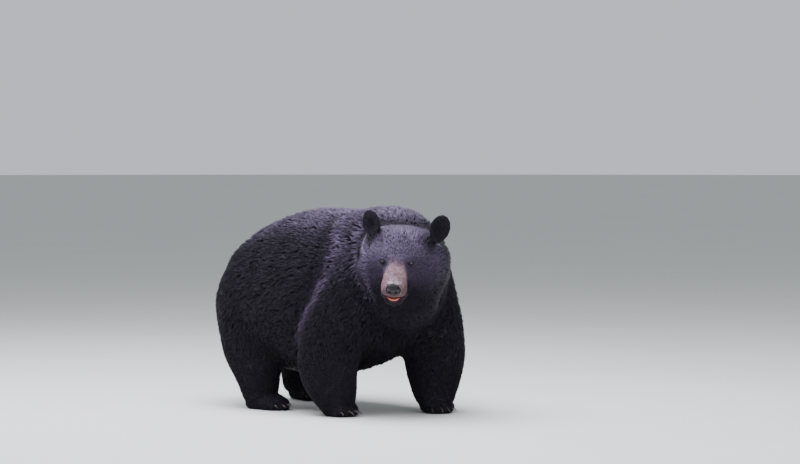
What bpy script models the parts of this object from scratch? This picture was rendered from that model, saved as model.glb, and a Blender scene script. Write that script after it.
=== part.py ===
"""A well-fed black bear, standing, life size, parted into the pieces that a person would name.

Metres, +Z up. The bear looks along -Y with its head turned to its right, so its left side is +X.
Its soles stand on z = 0, and the middle of its bounding box is over the origin.
The body is lofted from a few sections, joined into one skin, thinned, and then cut into its parts.
"""

import math
from typing import NamedTuple

import bmesh
import bpy
import numpy as np
from mathutils import Matrix, Vector

# Driving sizes
SHOULDER_HEIGHT = 0.926  # to the tips of the coat over the shoulders
TRUNK_HALF_WIDTH = 0.375
BELLY_CLEARANCE = 0.150
GAP = 0.0004  # left between neighbouring pieces

# How finely the whole body is joined, and how many faces stay after thinning
JOIN_VOXEL = 0.011
JOIN_SMOOTHINGS = 9
HEAD_VOXEL = 0.0065
HEAD_SMOOTHINGS = 5
BODY_FACES = 3400

# Stance: where each foot stands, as the distance behind the origin, and how far out from the midline
FOREFOOT_Y = {1: -0.418, -1: -0.262}
FOREFOOT_X = 0.218
HINDFOOT_Y = {1: 0.500, -1: 0.220}
HINDFOOT_X = 0.235
TOE_IN = math.radians(10)

# The head, held low and turned to the bear's right; the place is midway between the eyes
HEAD_PLACE = Vector((-0.255, -0.685, 0.695))
HEAD_TURN = math.radians(-48)
HEAD_DROOP = math.radians(24)
HEAD_ROLL = math.radians(4.5)
HEAD = (
    Matrix.Translation(HEAD_PLACE)
    @ Matrix.Rotation(HEAD_TURN, 4, "Z")
    @ Matrix.Rotation(HEAD_DROOP, 4, "X")
    @ Matrix.Rotation(HEAD_ROLL, 4, "Y")
)
EYE_SPREAD = 0.060
EYE_RADIUS = 0.0110
EYE_DEPTH = 0.0060  # centre of the eye behind the mid-eye point

SIDES = {"left": 1, "right": -1}
LEATHER = ("leather", (0.030, 0.024, 0.024), 0.45)
COAT = ("coat", (0.012, 0.011, 0.013), 0.60)
EYE = ("eye", (0.030, 0.014, 0.008), 0.08)
CLAW = ("claw", (0.060, 0.050, 0.045), 0.35)
FLESH = ("tongue", (0.480, 0.130, 0.100), 0.40)


class Section(NamedTuple):
    """One station of a loft: its centre, half its width, and how far it reaches up and down.

    On a limb that runs downwards, up is towards the front of the bear and down towards its back.
    """

    at: tuple
    wide: float
    up: float
    down: float


def clear_scene():
    for obj in list(bpy.data.objects):
        bpy.data.objects.remove(obj)


def new_object(name, mesh):
    obj = bpy.data.objects.new(name, mesh)
    bpy.context.scene.collection.objects.link(obj)
    return obj


def object_from(name, bm):
    """Makes an object of a closed mesh, with its faces outwards."""
    bm.normal_update()
    bmesh.ops.recalc_face_normals(bm, faces=bm.faces)
    if bm.calc_volume(signed=True) < 0:
        bmesh.ops.reverse_faces(bm, faces=bm.faces)
    mesh = bpy.data.meshes.new(name)
    bm.to_mesh(mesh)
    bm.free()
    return new_object(name, mesh)


def through(points, steps):
    """A smooth curve through rows of numbers, with steps between one row and the next."""
    rows = np.array(points, float)
    padded = np.vstack([2 * rows[0] - rows[1], rows, 2 * rows[-1] - rows[-2]])
    curve = []
    for before, start, end, after in zip(padded, padded[1:], padded[2:], padded[3:]):
        for t in np.arange(steps) / steps:
            curve.append(
                0.5 * (2 * start + (end - before) * t
                       + (2 * before - 5 * start + 4 * end - after) * t ** 2
                       + (3 * start - before - 3 * end + after) * t ** 3)
            )
    curve.append(rows[-1])
    return np.array(curve)


def loft(name, sections, front=(0, 0, 1), domes=(0.6, 0.6), around=28, steps=5, square=2.0, place=None):
    """A closed body through the sections. domes says how far each end bulges, as a share of its size.

    square is the power of the outline: 2 is an ellipse, and more is fuller at the corners.
    """
    rows = through([(*s.at, s.wide, s.up, s.down) for s in sections], steps)
    centres = rows[:, :3]
    along = np.gradient(centres, axis=0)
    along /= np.linalg.norm(along, axis=1, keepdims=True)
    rings = [(c, d, *size, 1.0) for c, d, size in zip(centres, along, rows[:, 3:])]

    def dome(ring, share, outwards):
        centre, direction, wide, up, down, _ = ring
        length = share * (wide + (up + down) / 2) / 2
        for angle in np.radians([35, 62, 82]):
            moved = centre + outwards * direction * length * math.sin(angle)
            yield moved, direction, wide, up, down, math.cos(angle)

    rings = (
        list(dome(rings[0], domes[0], -1))[::-1] + rings + list(dome(rings[-1], domes[1], 1))
    )
    bm = bmesh.new()
    corners = []
    for centre, direction, wide, up, down, scale in rings:
        side = np.cross(direction, front)
        side /= np.linalg.norm(side)
        top = np.cross(side, direction)
        ring = []
        for angle in np.linspace(0, 2 * math.pi, around, endpoint=False):
            cos, sin = math.cos(angle), math.sin(angle)
            fuller = (abs(cos) ** square + abs(sin) ** square) ** (-1 / square)
            reach = up if sin > 0 else down
            point = centre + scale * fuller * (side * wide * cos + top * reach * sin)
            ring.append(bm.verts.new(point))
        corners.append(ring)
    for ring, following in zip(corners, corners[1:]):
        for i in range(around):
            j = (i + 1) % around
            bm.faces.new((ring[i], ring[j], following[j], following[i]))
    bm.faces.new(corners[0])
    bm.faces.new(corners[-1])
    if place is not None:
        bm.transform(place)
    return object_from(name, bm)


def ball(name, at, radii, turn=(0, 0, 0), place=None, segments=24):
    """An ellipsoid, turned about X, Y and Z in degrees."""
    bm = bmesh.new()
    bmesh.ops.create_uvsphere(bm, u_segments=segments, v_segments=segments // 2, radius=1)
    bm.transform(Matrix.Diagonal((*radii, 1)))
    for angle, axis in zip(turn, "XYZ"):
        bm.transform(Matrix.Rotation(math.radians(angle), 4, axis))
    bm.transform(Matrix.Translation(at))
    if place is not None:
        bm.transform(place)
    return object_from(name, bm)


def mirrored(at, side):
    return (side * at[0], at[1], at[2])


def baked(obj):
    """Applies the object's modifiers to its mesh."""
    graph = bpy.context.evaluated_depsgraph_get()
    mesh = bpy.data.meshes.new_from_object(obj.evaluated_get(graph))
    obj.modifiers.clear()
    obj.data = mesh
    return obj


def joined(name, objects):
    bm = bmesh.new()
    for obj in objects:
        bm.from_mesh(obj.data)
        bpy.data.objects.remove(obj)
    mesh = bpy.data.meshes.new(name)
    bm.to_mesh(mesh)
    bm.free()
    return new_object(name, mesh)


def fused(obj, voxel, smoothings):
    """Joins overlapping closed bodies into one skin and softens where they meet."""
    remesh = obj.modifiers.new("join", "REMESH")
    remesh.mode = "VOXEL"
    remesh.voxel_size = voxel
    soften = obj.modifiers.new("soften", "SMOOTH")
    soften.factor = 0.5
    soften.iterations = smoothings
    return baked(obj)


# ---------------------------------------------------------------- the masses of the body

def trunk_masses():
    height = SHOULDER_HEIGHT
    wide = TRUNK_HALF_WIDTH
    floor = BELLY_CLEARANCE

    def station(y, share_wide, bottom, top, bulge=0.46):
        """The section at y, widest at the share bulge of its height."""
        middle = bottom + bulge * (top - bottom)
        return Section((0, y, middle), wide * share_wide, top - middle, middle - bottom)

    barrel = loft("barrel", [
        station(0.600, 0.51, 0.390, height - 0.285),
        station(0.500, 0.79, 0.285, height - 0.200),
        station(0.400, 0.93, 0.225, height - 0.132),
        station(0.300, 0.99, 0.190, height - 0.070),
        station(0.200, 1.00, floor + 0.010, height - 0.034),
        station(0.050, 1.00, floor, height - 0.012),
        station(-0.150, 0.96, floor + 0.045, height - 0.010),
        station(-0.330, 0.79, 0.270, height + 0.000),
        station(-0.430, 0.68, 0.300, height - 0.004),
        station(-0.530, 0.50, 0.350, height - 0.110),
    ], domes=(0.40, 0.30), around=36)
    tail = loft("tail_mass", [
        Section((0, 0.600, 0.640), 0.060, 0.045, 0.045),
        Section((0, 0.664, 0.585), 0.048, 0.036, 0.036),
        Section((0, 0.686, 0.515), 0.036, 0.028, 0.028),
    ], front=(0, -1, 0), domes=(0.5, 1.2), around=16)
    return [barrel, tail]


def neck_masses():
    scruff = loft("scruff", [
        Section((0.000, -0.250, 0.690), 0.230, 0.232, 0.230),
        Section((-0.030, -0.410, 0.690), 0.226, 0.232, 0.250),
        Section((-0.080, -0.530, 0.680), 0.215, 0.200, 0.230),
        Section((-0.135, -0.615, 0.680), 0.200, 0.155, 0.200),
    ], domes=(0.5, 0.4), around=32)
    dewlap = ball("dewlap", (-0.090, -0.560, 0.530), (0.160, 0.120, 0.150), (20, 0, -25))
    return [scruff, dewlap]


def foreleg_masses(side):
    foot = FOREFOOT_Y[side]
    middle = sum(FOREFOOT_Y.values()) / 2

    def station(x, y, z, lean, wide, front, back):
        """lean is the share of the foot's step forwards or back that this height takes up."""
        at = (side * x, middle + y + lean * (foot - middle), z)
        return Section(at, wide, front, back)

    limb = loft("foreleg", [
        station(0.122, -0.010, 0.800, 0.00, 0.092, 0.108, 0.130),
        station(0.164, -0.026, 0.640, 0.05, 0.129, 0.144, 0.178),
        station(0.218, 0.004, 0.500, 0.20, 0.139, 0.152, 0.175),
        station(0.237, 0.024, 0.360, 0.85, 0.138, 0.144, 0.156),
        station(0.240, 0.032, 0.220, 1.10, 0.128, 0.136, 0.152),
        station(0.230, 0.014, 0.110, 1.00, 0.106, 0.098, 0.122),
        station(0.221, 0.004, 0.048, 1.00, 0.082, 0.082, 0.088),
    ], front=(0, -1, 0), domes=(0.5, 0.3), around=26)
    return [limb]


def hindleg_masses(side):
    foot = HINDFOOT_Y[side]
    middle = sum(HINDFOOT_Y.values()) / 2

    def station(x, y, z, lean, wide, front, back):
        at = (side * x, middle + y + lean * (foot - middle), z)
        return Section(at, wide, front, back)

    limb = loft("hindleg", [
        station(0.140, 0.040, 0.680, 0.10, 0.120, 0.150, 0.130),
        station(0.195, 0.035, 0.510, 0.30, 0.157, 0.200, 0.196),
        station(0.228, 0.025, 0.390, 0.45, 0.144, 0.180, 0.182),
        station(0.240, 0.035, 0.280, 0.60, 0.124, 0.140, 0.154),
        station(0.240, 0.042, 0.190, 0.85, 0.112, 0.130, 0.116),
        station(0.238, 0.046, 0.110, 0.98, 0.090, 0.108, 0.088),
        station(0.236, 0.050, 0.048, 1.00, 0.074, 0.086, 0.070),
    ], front=(0, -1, 0), domes=(0.5, 0.3), around=26)
    return [limb]


def foot_place(side, hind):
    """The frame of a foot: its origin on the floor under the ankle or wrist, toes towards -Y."""
    x, y = (HINDFOOT_X, HINDFOOT_Y[side]) if hind else (FOREFOOT_X, FOREFOOT_Y[side])
    return Matrix.Translation((side * x, y, 0)) @ Matrix.Rotation(-side * TOE_IN, 4, "Z")


def toe_places(hind):
    """For each toe, from the inner one outwards: its place across, its tip forwards, and its half width."""
    reach, spread = (0.128, 0.0245) if hind else (0.094, 0.0275)
    for i in range(5):
        across = (i - 2) * spread
        yield across, reach - 14 * across ** 2, spread * 0.58


def foot_masses(side, hind):
    place = foot_place(side, hind)
    if hind:
        sole = loft("sole", [
            Section((0, 0.078, 0.034), 0.046, 0.034, 0.041),
            Section((0, 0.030, 0.034), 0.053, 0.052, 0.041),
            Section((0, -0.040, 0.030), 0.060, 0.048, 0.037),
            Section((0, -0.092, 0.026), 0.061, 0.030, 0.032),
        ], domes=(0.7, 0.35), around=20, square=2.6, place=place)
    else:
        sole = loft("sole", [
            Section((0, 0.044, 0.036), 0.058, 0.040, 0.043),
            Section((0, -0.005, 0.032), 0.068, 0.050, 0.039),
            Section((0, -0.056, 0.027), 0.068, 0.034, 0.033),
        ], domes=(0.55, 0.35), around=20, square=2.6, place=place)
    toes = [
        ball("toe", (across, 0.022 - tip, 0.019), (half, 0.030, 0.0215), place=place, segments=16)
        for across, tip, half in toe_places(hind)
    ]
    return [sole, *toes]


def head_masses():
    """The head in its own frame: the eyes level at x = 0.06 either side, the muzzle towards -Y."""

    def here(name, sections, **shape):
        return loft(name, sections, place=HEAD, **shape)

    skull = [here("skull", [
        Section((0, 0.215, -0.020), 0.165, 0.100, 0.150),
        Section((0, 0.150, -0.020), 0.172, 0.124, 0.155),
        Section((0, 0.090, -0.025), 0.164, 0.122, 0.140),
        Section((0, 0.040, -0.028), 0.122, 0.095, 0.105),
        Section((0, 0.008, -0.030), 0.086, 0.060, 0.078),
    ], domes=(0.3, 0.35), around=32, square=2.1)]
    for side in SIDES.values():
        cheek = mirrored((0.112, 0.110, -0.085), side)
        ear_root = mirrored((0.116, 0.146, 0.052), side)
        skull.append(ball("cheek", cheek, (0.086, 0.090, 0.110), (0, 0, side * 12), HEAD))
        skull.append(ball("ear_root", ear_root, (0.044, 0.034, 0.040), (0, side * 30, 0), HEAD))
    skull = fused(joined("skull_whole", skull), HEAD_VOXEL, 30)
    muzzle = here("muzzle", [
        Section((0, 0.060, -0.024), 0.074, 0.054, 0.084),
        Section((0, 0.010, -0.036), 0.056, 0.044, 0.074),
        Section((0, -0.040, -0.056), 0.053, 0.043, 0.057),
        Section((0, -0.088, -0.067), 0.057, 0.038, 0.049),
        Section((0, -0.120, -0.073), 0.050, 0.032, 0.042),
    ], domes=(0.3, 0.42), around=26, square=2.35)
    jaw = here("jaw", [
        Section((0, 0.110, -0.138), 0.105, 0.050, 0.050),
        Section((0, 0.040, -0.140), 0.074, 0.040, 0.036),
        Section((0, -0.030, -0.144), 0.050, 0.030, 0.026),
        Section((0, -0.082, -0.147), 0.040, 0.024, 0.019),
        Section((0, -0.104, -0.147), 0.034, 0.018, 0.015),
    ], domes=(0.3, 0.40), around=22, square=2.2)
    masses = [skull, muzzle, jaw]
    for side in SIDES.values():
        brow = mirrored((0.046, 0.036, 0.018), side)
        lip = mirrored((0.041, -0.046, -0.1180), side)
        masses.append(ball("brow", brow, (0.040, 0.036, 0.022), (0, -side * 12, side * 20), HEAD))
        masses.append(ball("lip", lip, (0.017, 0.062, 0.019), (0, 0, side * 6), HEAD))
    return masses


# ---------------------------------------------------------------- pieces that are set into the body

EAR_SPREAD = {1: 0.158, -1: 0.121}  # one ear is cocked more than the other
EAR_TURN = {  # degrees: swung outwards from upright, turned to the side, and laid back
    1: (12, 10, 6),
    -1: (6, 26, 4),
}


def ear(name, side):
    """A round cup, open to the front, standing on its narrow root."""
    wide, tall, thick, hollow = 0.047, 0.072, 0.016, 0.019
    bm = bmesh.new()
    bmesh.ops.create_uvsphere(bm, u_segments=14, v_segments=9, radius=1)
    bm.transform(Matrix.Rotation(math.pi / 2, 4, "X"))
    for vert in bm.verts:
        x, y, z = vert.co
        rim = min(1.0, x * x + z * z)
        bowl = hollow * (1 - rim)
        root = 1 - 0.34 * max(0.0, -z) ** 1.5
        depth = y * thick * (0.55 + 0.45 * math.sqrt(max(0.0, 1 - rim))) + bowl
        vert.co = (x * wide * root, depth, z * tall)
    swing, turn, back = (math.radians(a) for a in EAR_TURN[side])
    bm.transform(Matrix.Translation((0, 0, tall * 0.80)))
    bm.transform(Matrix.Rotation(side * turn, 4, "Z"))
    bm.transform(Matrix.Rotation(-back, 4, "X"))
    bm.transform(Matrix.Rotation(side * swing, 4, "Y"))
    bm.transform(Matrix.Translation((side * EAR_SPREAD[side], 0.118, 0.050)))
    bm.transform(HEAD)
    return object_from(name, bm)


def eye(name, side):
    return ball(name, (side * EYE_SPREAD, EYE_DEPTH, 0), (EYE_RADIUS,) * 3, place=HEAD, segments=12)


def nose(name):
    """The bare leather at the tip of the muzzle, with its two nostrils."""
    pad = loft(name, [
        Section((0, -0.114, -0.063), 0.026, 0.017, 0.020),
        Section((0, -0.136, -0.066), 0.0285, 0.0180, 0.024),
        Section((0, -0.147, -0.070), 0.024, 0.0150, 0.020),
    ], domes=(0.2, 0.32), around=16, steps=1, square=2.5, place=HEAD)
    for side in SIDES.values():
        nostril = ball("nostril", (side * 0.0135, -0.157, -0.071), (0.0062, 0.016, 0.0085),
                       (-20, side * 25, side * 24), HEAD, segments=8)
        carve(pad, nostril)
    return pad


def tongue(name):
    return loft(name, [
        Section((0, -0.020, -0.1225), 0.019, 0.004, 0.004),
        Section((0, -0.055, -0.1260), 0.024, 0.005, 0.005),
        Section((0, -0.096, -0.1300), 0.0265, 0.006, 0.006),
    ], domes=(0.3, 0.7), around=12, steps=1, place=HEAD)


def mouth_cutter():
    """The gap of the parted jaws: a wedge that opens towards the lips."""
    return loft("mouth", [
        Section((0, 0.010, -0.1205), 0.022, 0.0040, 0.0050),
        Section((0, -0.050, -0.1225), 0.029, 0.0075, 0.0095),
        Section((0, -0.110, -0.1255), 0.034, 0.0105, 0.0120),
        Section((0, -0.170, -0.1285), 0.046, 0.0135, 0.0150),
    ], domes=(0.3, 0.3), around=20, steps=2, square=2.6, place=HEAD)


def claw(name, side, hind, toe):
    """A curved horn that tapers from the toe towards the floor."""
    across, tip, half = list(toe_places(hind))[toe]
    length, thick = (0.030, 0.0048) if hind else (0.042, 0.0056)
    bend = math.radians(52)
    radius = length / bend
    bm = bmesh.new()
    rings = []
    count, around = 3, 5
    for i in range(count + 1):
        angle = bend * i / count - math.radians(8)
        centre = Vector((0, -radius * math.sin(angle), radius * (math.cos(angle) - 1)))
        size = thick * (1 - 0.90 * (i / count) ** 1.3)
        normal = Vector((0, math.sin(angle), math.cos(angle)))
        ring = []
        for k in range(around):
            phase = 2 * math.pi * (k + 0.5) / around
            point = centre + Vector((0.8 * size * math.cos(phase), 0, 0)) + normal * size * math.sin(phase)
            ring.append(bm.verts.new(point))
        rings.append(ring)
    for ring, following in zip(rings, rings[1:]):
        for k in range(around):
            m = (k + 1) % around
            bm.faces.new((ring[k], ring[m], following[m], following[k]))
    bm.faces.new(rings[0])
    bm.faces.new(rings[-1])
    bm.transform(Matrix.Rotation(across * 4, 4, "Z"))
    bm.transform(Matrix.Translation((across, 0.004 - tip, 0.0265)))
    bm.transform(foot_place(side, hind))
    return object_from(name, bm)


# ---------------------------------------------------------------- cutting

def boolean(obj, cutter, operation):
    modifier = obj.modifiers.new("cut", "BOOLEAN")
    modifier.operation = operation
    modifier.solver = "EXACT"
    modifier.object = cutter
    return baked(obj)


def carve(obj, cutter):
    boolean(obj, cutter, "DIFFERENCE")
    bpy.data.objects.remove(cutter)


def grown(obj, by):
    """A copy whose skin stands out by a hair, to cut the seat of a piece with a gap round it."""
    bm = bmesh.new()
    bm.from_mesh(obj.data)
    bm.normal_update()
    moves = [vert.normal * by for vert in bm.verts]
    for vert, move in zip(bm.verts, moves):
        vert.co += move
    mesh = bpy.data.meshes.new("seat")
    bm.to_mesh(mesh)
    bm.free()
    return new_object("seat", mesh)


def half_space(through_point, normal, size=3.0):
    """A huge box on the side of the plane that the normal points to."""
    bm = bmesh.new()
    bmesh.ops.create_cube(bm, size=1)
    bm.transform(Matrix.Diagonal((size, size, size, 1)))
    bm.transform(Matrix.Translation((0, 0, size / 2)))
    bm.transform(Vector(normal).to_track_quat("Z", "Y").to_matrix().to_4x4())
    bm.transform(Matrix.Translation(through_point))
    return object_from("half_space", bm)


def part_off(obj, name, make_cutter):
    """Cuts the piece inside the cutter off obj. make_cutter takes how far to grow, which leaves the gap."""
    piece = new_object(name, obj.data.copy())
    carve_in = make_cutter(0.0)
    boolean(piece, carve_in, "INTERSECT")
    bpy.data.objects.remove(carve_in)
    carve(obj, make_cutter(GAP))
    return piece


def leg_cutter(side, hind):
    """A post round one leg with a domed top, inside which the leg is parted from the trunk."""
    if hind:
        foot, hip, deep, top = HINDFOOT_Y[side], 0.390, 0.240, 0.500
    else:
        foot, hip, deep, top = FOREFOOT_Y[side], -0.345, 0.225, 0.520

    def make(by):
        size = (0.176 + by, deep + by, deep + by)
        return loft("leg_cutter", [
            Section((side * 0.264, foot, -0.100), *size),
            Section((side * 0.264, foot, 0.120), *size),
            Section((side * 0.264, hip, top), *size),
        ], front=(0, -1, 0), domes=(0.05, 0.85), around=24, steps=1)

    return make


def tail_cutter(by):
    return ball("tail_cutter", (0, 0.690, 0.550), (0.078 + by, 0.092 + by, 0.140 + by))


def plane_cutter(through_point, normal):
    def make(by):
        normal_out = Vector(normal).normalized()
        return half_space(Vector(through_point) - normal_out * by, normal_out)

    return make


# ---------------------------------------------------------------- the whole bear

def weight_for_thinning(obj):
    """Marks how much each vertex may be thinned: least on the face."""
    group = obj.vertex_groups.new(name="thin")
    inverse = HEAD.inverted()
    for vert in obj.data.vertices:
        local = inverse @ vert.co
        face = local.y < 0.04 and local.length < 0.24
        weight = 0.90 if face else 1.0
        group.add([vert.index], weight, "REPLACE")


def whole_body():
    head = fused(joined("head_whole", head_masses()), HEAD_VOXEL, HEAD_SMOOTHINGS)
    masses = trunk_masses() + neck_masses()
    for side in SIDES.values():
        masses += foreleg_masses(side) + hindleg_masses(side)
    body = fused(joined("trunk_whole", masses), JOIN_VOXEL, JOIN_SMOOTHINGS)
    feet = [
        mass for side in SIDES.values() for hind in (False, True) for mass in foot_masses(side, hind)
    ]
    feet = fused(joined("feet", feet), HEAD_VOXEL, 2)
    body = fused(joined("bear", [head, body, feet]), HEAD_VOXEL, 4)
    return body


def thinned(obj, faces):
    weight_for_thinning(obj)
    modifier = obj.modifiers.new("thin", "DECIMATE")
    modifier.vertex_group = "thin"
    modifier.vertex_group_factor = 1.0
    modifier.ratio = faces / (2 * len(obj.data.polygons))
    baked(obj)
    obj.vertex_groups.clear()
    return obj


def painted(obj, finish):
    name, colour, roughness = finish
    material = bpy.data.materials.get(name)
    if material is None:
        material = bpy.data.materials.new(name)
        material.use_nodes = True
        shader = material.node_tree.nodes["Principled BSDF"]
        shader.inputs["Base Color"].default_value = (*colour, 1)
        shader.inputs["Roughness"].default_value = roughness
        shader.inputs["Metallic"].default_value = 0.0
    obj.data.materials.clear()
    obj.data.materials.append(material)
    return obj


def set_in(host, piece, finish):
    """Seats a finished piece in the host with a gap all round."""
    carve(host, grown(piece, GAP * 1.5))
    return painted(piece, finish)


def centred(pieces):
    """Stands the finished bear on the floor, with the middle of its box over the origin."""
    low = np.min([np.min([v.co for v in p.data.vertices], axis=0) for p in pieces], axis=0)
    high = np.max([np.max([v.co for v in p.data.vertices], axis=0) for p in pieces], axis=0)
    middle = (low + high) / 2
    for piece in pieces:
        piece.data.transform(Matrix.Translation((-middle[0], -middle[1], 0)))


def build():
    clear_scene()
    body = thinned(whole_body(), BODY_FACES)
    carve(body, half_space((0, 0, 0), (0, 0, -1)))

    shoulders = plane_cutter((0, -0.440, 0.800), (-0.10, -0.86, 0.50))
    head_and_neck = part_off(body, "neck", shoulders)
    muzzle_way = HEAD.to_3x3() @ Vector((0, -1, 0))
    occiput = plane_cutter(HEAD @ Vector((0, 0.190, 0)), muzzle_way)
    head = part_off(head_and_neck, "head", occiput)
    coat = [head, head_and_neck, body]
    body.name = "trunk"

    tail = part_off(body, "tail", tail_cutter)
    coat.append(tail)
    for word, side in SIDES.items():
        for hind, leg_name in ((False, "foreleg"), (True, "hindleg")):
            leg = part_off(body, f"{leg_name}_{word}", leg_cutter(side, hind))
            ankle = plane_cutter(foot_place(side, hind) @ Vector((0, 0.05, 0.085)), (0, -0.25, -1))
            paw = part_off(leg, f"{leg_name[:4]}paw_{word}", ankle)
            coat += [leg, paw]
            for toe in range(5):
                horn = claw(f"claw_{leg_name[:4]}_{word}_{toe + 1}", side, hind, toe)
                set_in(paw, horn, CLAW)
    for word, side in SIDES.items():
        coat.append(ear(f"ear_{word}", side))
        set_in(head, coat[-1], COAT)
        set_in(head, eye(f"eye_{word}", side), EYE)
    set_in(head, nose("nose"), LEATHER)
    carve(head, mouth_cutter())
    set_in(head, tongue("tongue"), FLESH)
    for piece in coat:
        painted(piece, COAT)
    centred([obj for obj in bpy.data.objects if not obj.hide_render])


build()
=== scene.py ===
"""An American black bear at life size, standing foursquare with its head turned to the viewer.

One skin stands for all the flesh. A coat of solid tufts covers it and follows the lie of the fur,
and the eyes, nose, tongue and claws are pieces of their own. Lengths are in metres and Z is up.
The bear faces -Y with its left side towards +X. "Head places" are measured in the head's own frame:
X to its left, Y to the back of the skull, Z to the crown, with both pupils near Y = 0 and Z = 0.
"""

import math
from contextlib import contextmanager
from typing import NamedTuple

import bmesh
import bpy
import numpy as np
from mathutils import Matrix, Vector
from mathutils.bvhtree import BVHTree
from mathutils.kdtree import KDTree


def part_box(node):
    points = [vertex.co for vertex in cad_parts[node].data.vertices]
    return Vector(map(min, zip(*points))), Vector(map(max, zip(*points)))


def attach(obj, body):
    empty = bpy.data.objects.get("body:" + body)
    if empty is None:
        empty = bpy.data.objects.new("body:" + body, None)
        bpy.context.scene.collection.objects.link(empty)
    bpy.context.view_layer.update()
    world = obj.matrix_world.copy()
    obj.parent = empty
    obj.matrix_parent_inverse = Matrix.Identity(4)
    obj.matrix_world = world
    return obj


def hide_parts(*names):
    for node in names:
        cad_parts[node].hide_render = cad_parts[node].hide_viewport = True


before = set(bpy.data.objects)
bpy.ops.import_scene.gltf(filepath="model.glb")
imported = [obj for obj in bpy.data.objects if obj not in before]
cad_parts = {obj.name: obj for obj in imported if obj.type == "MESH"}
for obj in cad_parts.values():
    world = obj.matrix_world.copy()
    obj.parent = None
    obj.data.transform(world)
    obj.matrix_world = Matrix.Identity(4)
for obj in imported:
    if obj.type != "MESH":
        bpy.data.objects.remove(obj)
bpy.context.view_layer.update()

SIDES = {"left": 1, "right": -1}
REGIONS = ("trunk", "neck", "head", "tail", "foreleg", "forepaw", "hindleg", "hindpaw", "ear")
FLESH = [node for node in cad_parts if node.split("_")[0] in REGIONS]
TOES = range(1, 6)

# The skin
MERGE = 1e-5  # corners nearer than this are one
SEAM = 0.0011  # how far each part swells to close the cuts between parts
VOXEL = 0.005
FACE_SMOOTHINGS = 5
SINKINGS = 6  # steps in which the skin goes down to the roots of the fur
SINK_SMOOTHINGS = 5  # after each of them, on the body
LEVELLINGS = 3  # corrections of the depth that smoothing has changed
BODY_SMOOTHINGS = 30  # on the thinned body
BODY_THINNING = 0.16  # share of the body's faces that are kept

# The head, in head places
NOSE_FALL = math.radians(26.0)  # the nose lies this far below straight ahead of the eyes
EYE_BEHIND = 0.006  # the eyeballs' centres lie this far behind Y = 0
EYE_RADIUS = 0.0110
NOSE_TIP = np.array([0.0, -0.150, -0.068])
MOUTH = np.array([0.0, -0.100, -0.1260])
GAZE_OUT = math.radians(16)
GAZE_UP = math.radians(2)
EYE_SLANT = math.radians(8)  # the outer corner stands higher
LID = 0.0016  # the lids' thickness over the eyeball
OPENING = (0.0098, 0.0064, 0.0050)  # of the lids: half its length, its height above and below
LID_REACH = 0.024  # the lids run out into the face this far from the eye
LID_WRAP = 0.0104  # past this distance from the eye's axis they run straight out
LID_SNAP = 0.0007  # skin this near the lids' edge is drawn onto it
EYE_SPACE = (-0.014, 0.030)  # the heights along the gaze that lids may stand at
IRIS = 0.0066  # radii
PUPIL = 0.0026
CORNEA = 0.0007  # how far the clear front of the eye stands out

# The coat
TIP_OVER = 0.0010  # the tips stand this far over the outline
FLOOR_GAP = 0.0006  # the lowest fur stays this far off the floor
UNDERFUR = 0.28  # the share of tufts that stay low, under the guard hair
UNDERFUR_HEIGHT = 0.62  # of the guard hair's
LENGTHS, WIDTHS, HEIGHTS = (0.75, 1.20), (0.75, 1.25), (0.82, 1.08)  # of tufts, times the usual
SWAY = 0.18  # how far the lie wavers over the whole body, in radians
SWAY_LENGTH = 0.16
CURL_LENGTH = 0.042
CREST, FURROW = 0.35, 0.70  # how much deeper and shallower the coat is there
FRONT, REAR = -0.34, 0.36  # the trunk's coat is parted here
ROOT_UNDER = 0.0008  # roots start this far under the skin
BELLY_AT = 0.42  # tufts are widest this far along
BELLY_RISE = 0.30  # and bow up there by this share of the coat's depth
RIDGE = 0.30  # their ridge stands over their middle by this share of their width
SIDES_UNDER = 0.6  # and their sides under it by this share of that
CORNERS = 5  # of a tuft: its root, its ridge, its two sides and its tip
SPINDLE = ((4, 1, 2), (4, 2, 3), (4, 3, 1), (0, 2, 1), (0, 3, 2), (0, 1, 3))
TIP_SHARES = (0.0, 0.45, 0.45, 0.45, 1.0)  # how near the tip each corner counts
PATCH = 0.003  # the width of a tuft's patch on the bake map
PATCH_PLACES = ((0.5, 0.0), (0.5, 0.5), (0.0, 0.5), (1.0, 0.5), (0.5, 1.0))

# Nose, tongue and claws
FINE_VOXEL = 0.0011
CLAW_SIDES = 10
CLAW_RINGS = 7
CLAW_BEND = math.radians(58)
CLAW_DIP = math.radians(6)  # the root points this far up


# ---- small tools

def choose(*pieces):
    """Selects these pieces alone, the first of them active."""
    bpy.ops.object.select_all(action="DESELECT")
    for piece in pieces:
        piece.select_set(True)
    bpy.context.view_layer.objects.active = pieces[0]


def applied(piece, kind, **settings):
    """Shapes the piece with one modifier, applied at once."""
    choose(piece)
    modifier = piece.modifiers.new(kind.lower(), kind)
    for name, value in settings.items():
        setattr(modifier, name, value)
    bpy.ops.object.modifier_apply(modifier=modifier.name)


def new_piece(name, mesh):
    piece = bpy.data.objects.new(name, mesh)
    bpy.context.scene.collection.objects.link(piece)
    return piece


def read(items, name, width, kind=np.float32):
    values = np.zeros(len(items) * width, kind)
    items.foreach_get(name, values)
    return values.reshape(-1, width) if width > 1 else values


def put(items, name, values, kind=np.float32):
    items.foreach_set(name, values.astype(kind).ravel())


def points_of(mesh):
    return read(mesh.vertices, "co", 3).astype(float)


def tree_of(mesh):
    """The mesh, ready to find its nearest face."""
    return BVHTree.FromPolygons([v.co for v in mesh.vertices], [face.vertices for face in mesh.polygons])


def add_values(mesh, name, values):
    put(mesh.attributes.new(name, "FLOAT", "POINT").data, "value", values)


def rise(low, high, value):
    """0 up to low, 1 from high, and a smooth step between them; low may be the greater."""
    share = np.clip((value - low) / (high - low), 0, 1)
    return share * share * (3 - 2 * share)


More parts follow.
